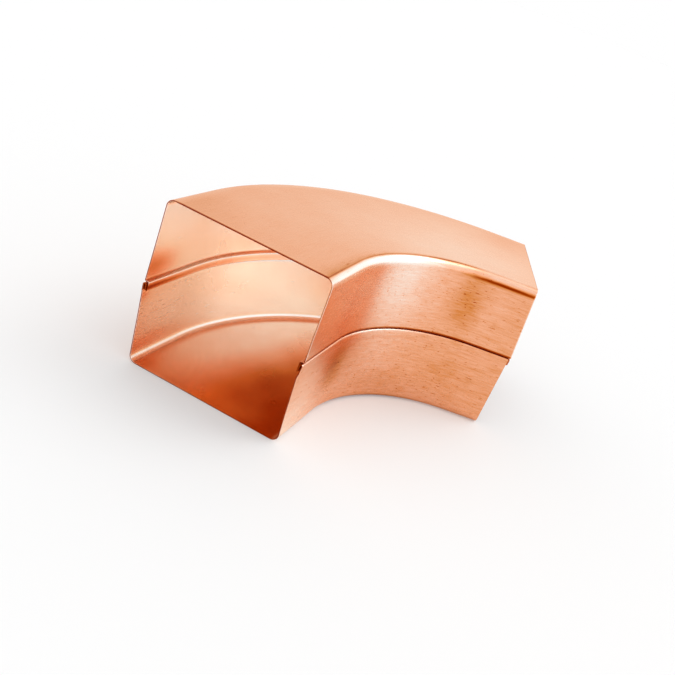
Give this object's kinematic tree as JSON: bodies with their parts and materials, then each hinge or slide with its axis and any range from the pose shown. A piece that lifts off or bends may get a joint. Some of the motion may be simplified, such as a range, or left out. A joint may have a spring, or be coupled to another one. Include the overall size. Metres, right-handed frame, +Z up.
{
  "type": "downspout elbow",
  "caption": "Smooth square copper downspout elbow of pressed half shells joined by folded lock seams, which turns rainwater from a pipe run into the next.",
  "frame": {"origin": "on the flat outside face of the lower cheek, straight below the point where the axes of the two straight runs cross", "axes": "+Z up, from the lower cheek to the upper cheek; -Y out of the near mouth along the near run's axis; +X to the throat side, the inside of the bend, where the far run goes"},
  "size_m": [0.1851, 0.2339, 0.1],
  "materials": {
    "copper": "bright bare rolled copper with soft lengthwise grain, light blotches, fine scratches and small dents"
  },
  "bodies": {
    "root": {"upper_half": "copper", "lower_half": "copper"}
  },
  "joints": []
}
